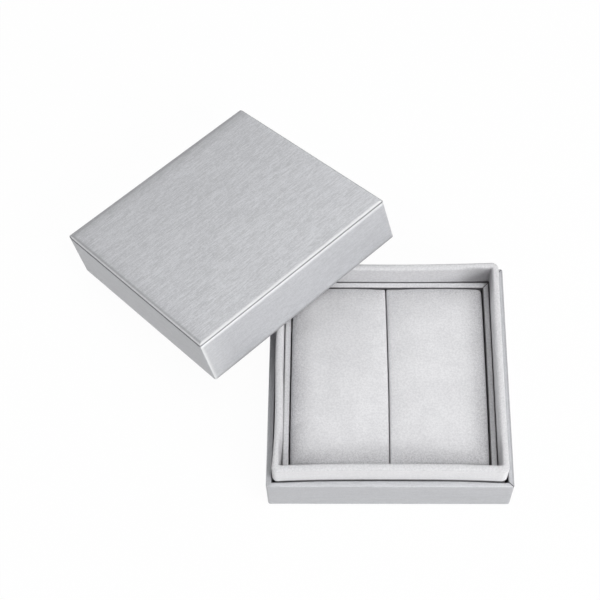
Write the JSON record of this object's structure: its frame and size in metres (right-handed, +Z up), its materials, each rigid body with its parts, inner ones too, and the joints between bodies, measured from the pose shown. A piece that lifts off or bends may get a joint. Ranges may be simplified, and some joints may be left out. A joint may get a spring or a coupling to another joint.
{
  "type": "cufflink display box",
  "caption": "Square lift-lid presentation box with a brushed silver-grey cover, a suede collar and a lift-out insert of slit pads for cufflinks; the lid is off and leans on the base.",
  "frame": {"origin": "centre of the base's underside, on the surface that the box stands on", "axes": "+Z up; +Y from the base's front wall to its rear wall; +X to the right seen from the front; the lid leans on the collar's rear left corner"},
  "size_m": [0.1893, 0.1833, 0.0536],
  "materials": {
    "brushed_cover": "satin",
    "suede": "matte",
    "greyboard": "matte",
    "stay_paper": "matte",
    "bottom_paper": "matte",
    "lining_paper": "matte",
    "foam": "matte"
  },
  "bodies": {
    "base": {"base_floor_board": "greyboard", "base_wall_board_front": "greyboard", "base_wall_board_right": "greyboard", "base_wall_board_rear": "greyboard", "base_wall_board_left": "greyboard", "base_corner_stays": "stay_paper", "base_wall_cover": "brushed_cover", "base_bottom_sheet": "bottom_paper", "collar_board_front": "greyboard", "collar_board_right": "greyboard", "collar_board_rear": "greyboard", "collar_board_left": "greyboard", "collar_cover": "suede"},
    "insert": {"insert_floor_board": "greyboard", "insert_rail_front": "greyboard", "insert_rail_right": "greyboard", "insert_rail_rear": "greyboard", "insert_rail_left": "greyboard", "insert_cover": "suede", "pad_foam_left": "foam", "pad_foam_right": "foam", "pad_cover_left": "suede", "pad_cover_right": "suede"},
    "lid": {"lid_deck_board": "greyboard", "lid_wall_board_near": "greyboard", "lid_wall_board_right": "greyboard", "lid_wall_board_far": "greyboard", "lid_wall_board_left": "greyboard", "lid_corner_stays": "stay_paper", "lid_wall_cover": "brushed_cover", "lid_panel_board": "greyboard", "lid_panel_cover": "brushed_cover", "lid_wall_lining": "lining_paper", "lid_ceiling_pad": "foam", "lid_ceiling_cover": "suede"}
  },
  "joints": [
    {"name": "lid_lift", "type": "slide", "parent": "base", "child": "lid", "axis": [0, 0, 1], "range_m": [0, 0.08]},
    {"name": "insert_lift", "type": "slide", "parent": "base", "child": "insert", "axis": [0, 0, 1], "range_m": [0, 0.034]}
  ],
  "couplings": [
    {"joint": "insert_lift", "follows": "lid_lift", "ratio": 0.425}
  ]
}
